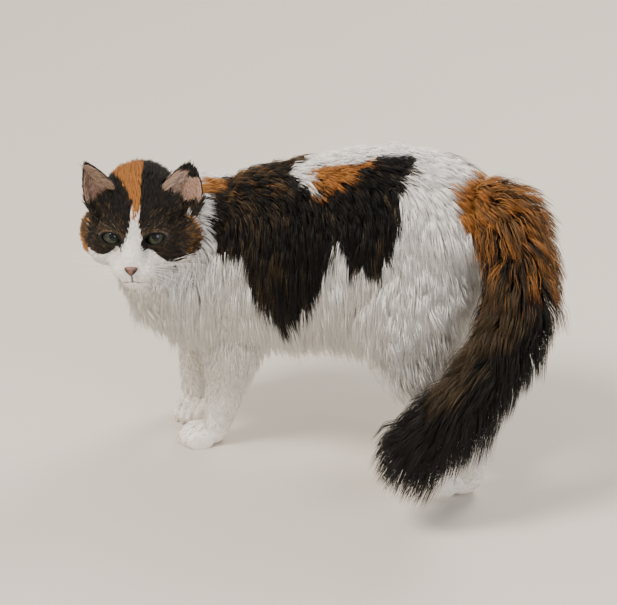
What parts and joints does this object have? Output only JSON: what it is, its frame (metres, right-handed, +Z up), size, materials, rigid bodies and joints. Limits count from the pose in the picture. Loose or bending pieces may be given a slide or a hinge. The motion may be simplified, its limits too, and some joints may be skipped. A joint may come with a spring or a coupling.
{
  "type": "longhair cat figure",
  "caption": "Life-size standing longhair cat with its head turned to its left, bushy tail curved forward and down beside its hind leg, standing on four flat-soled paws.",
  "frame": {"origin": "middle of the model's footprint, on the floor it stands on", "axes": "+X from the hips towards the shoulders, +Y to the cat's left, +Z up"},
  "size_m": [0.438, 0.2534, 0.3079],
  "materials": {
    "head": "short dense fur: ginger and black crown, tabby cheeks, white blaze, muzzle and chin",
    "ear_left": "thin skin, bare pinkish brown inside, short dark fur behind",
    "ear_right": "thin skin, bare pinkish brown inside, short dark fur behind",
    "eye_left": "clear wet cornea over a grey-green iris",
    "eye_right": "clear wet cornea over a grey-green iris",
    "nose": "moist bare leather, pink brown with a dark rim",
    "neck": "long white fur with a ginger spot on the nape side",
    "torso_front": "long fur, black saddle with ginger flecks over white chest and belly",
    "torso_middle": "long fur, black and ginger patches over a white flank and belly fringe",
    "torso_rear": "long white fur with the rear edge of the black and ginger patch",
    "foreleg_left": "white fur, short on the foot and longer up the leg",
    "foreleg_right": "white fur, short on the foot and longer up the leg",
    "hindleg_left": "white fur, short on the foot and longer up the leg",
    "hindleg_right": "white fur, short on the foot and longer up the leg",
    "paw_fore_left": "white fur, short on the foot and longer up the leg",
    "paw_fore_right": "white fur, short on the foot and longer up the leg",
    "paw_hind_left": "white fur, short on the foot and longer up the leg",
    "paw_hind_right": "white fur, short on the foot and longer up the leg",
    "tail_base": "long ginger and brown tabby fur",
    "tail_middle": "long ginger to black brown fur with buff streaks",
    "tail_tip": "long black fur with buff and brown wisps"
  },
  "bodies": {
    "root": {"head": "head", "ear_left": "ear_left", "ear_right": "ear_right", "eye_left": "eye_left", "eye_right": "eye_right", "nose": "nose", "neck": "neck", "torso_front": "torso_front", "torso_middle": "torso_middle", "torso_rear": "torso_rear", "foreleg_left": "foreleg_left", "foreleg_right": "foreleg_right", "hindleg_left": "hindleg_left", "hindleg_right": "hindleg_right", "paw_fore_left": "paw_fore_left", "paw_fore_right": "paw_fore_right", "paw_hind_left": "paw_hind_left", "paw_hind_right": "paw_hind_right", "tail_base": "tail_base", "tail_middle": "tail_middle", "tail_tip": "tail_tip"}
  },
  "joints": []
}
